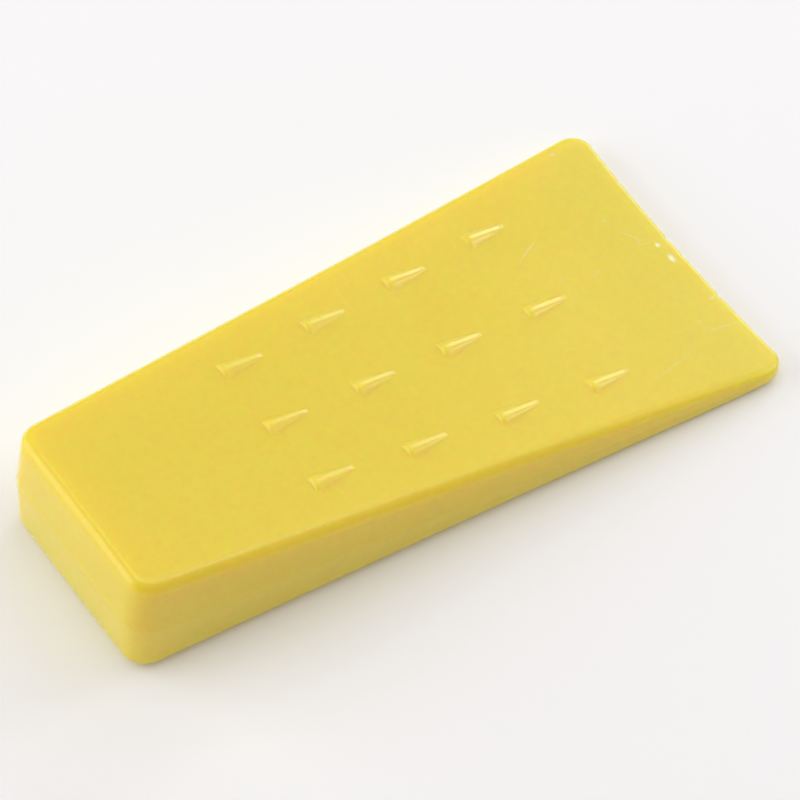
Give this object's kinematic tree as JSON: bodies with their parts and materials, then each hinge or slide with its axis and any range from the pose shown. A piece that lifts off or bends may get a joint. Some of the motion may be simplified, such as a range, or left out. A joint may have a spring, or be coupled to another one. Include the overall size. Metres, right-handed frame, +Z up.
{
  "type": "felling wedge",
  "caption": "Single-taper plastic felling wedge: thick at the butt that is struck, wide and thin at the tip, with rows of half-cone barbs on its upper face to grip the kerf.",
  "frame": {"origin": "bottom centre of the bounding box, on the surface the wedge lies on", "axes": "+X along the length from the butt to the tip, +Y across the width, +Z up; the lower face is level"},
  "size_m": [0.1398, 0.0688, 0.0254],
  "materials": {
    "wedge_body": "satin, injection moulded, solid yellow, slightly translucent"
  },
  "bodies": {
    "root": {"wedge_body": "wedge_body"}
  },
  "joints": []
}
